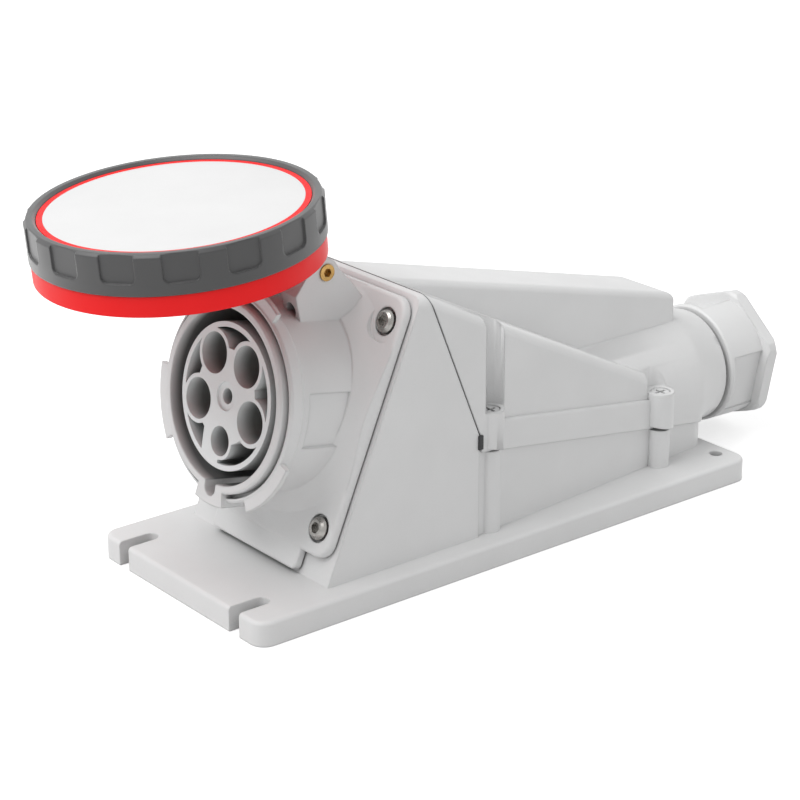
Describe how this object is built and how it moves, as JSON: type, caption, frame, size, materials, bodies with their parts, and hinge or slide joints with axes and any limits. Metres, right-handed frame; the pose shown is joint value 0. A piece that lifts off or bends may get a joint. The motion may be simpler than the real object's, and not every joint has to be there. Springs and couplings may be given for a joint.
{
  "type": "angled surface mount socket",
  "caption": "Angled surface-mounting power socket: a tilted round collar with contact wells, a hinged bayonet lid, a sloping rear cover and a cable gland.",
  "frame": {"origin": "centre of the plate's flat mounting face", "axes": "+Z out of the mounting face, -Y towards the socket, +Y towards the cable gland"},
  "size_m": [0.1352, 0.4351, 0.2019],
  "materials": {
    "housing": "satin moulded",
    "insert": "satin moulded",
    "lid_red": "satin moulded",
    "ring_grey": "fine matt",
    "disc_white": "satin",
    "rubber": "matt",
    "brass": "turned",
    "steel": "bright"
  },
  "bodies": {
    "housing": {"base": "housing", "rear_cover": "housing", "socket_flange": "housing", "gland_washer": "housing", "cover_screws": "housing", "contact_insert": "insert", "insert_retainer": "insert", "cover_gasket": "rubber", "flange_gasket": "rubber", "gland_seal": "rubber", "hinge_washers": "rubber", "live_contact_1": "brass", "live_contact_2": "brass", "live_contact_3": "brass", "neutral_contact": "brass", "earth_contact": "brass", "pilot_contact": "brass", "hinge_pin": "brass", "flange_screws": "steel", "terminal_screws": "steel"},
    "lid": {"lid_cap": "lid_red", "lid_band": "lid_red", "lid_disc": "disc_white", "lid_gasket": "rubber"},
    "bayonet_ring": {"bayonet_ring": "ring_grey"},
    "gland_nut": {"gland_nut": "housing"}
  },
  "joints": [
    {"name": "lid_hinge", "type": "hinge", "parent": "housing", "child": "lid", "pos_m": [0, -0.08599, 0.15395], "axis": [1, 0, 0], "range_deg": [-25, 74]},
    {"name": "ring_turn", "type": "hinge", "parent": "lid", "child": "bayonet_ring", "pos_m": [0, -0.15341, 0.18245], "axis": [0, 0.0924, -0.9957], "range_deg": [0, 35]},
    {"name": "gland_turn", "type": "hinge", "parent": "housing", "child": "gland_nut", "pos_m": [0, 0.1953, 0.042], "axis": [0, 1, 0], "continuous": true}
  ]
}
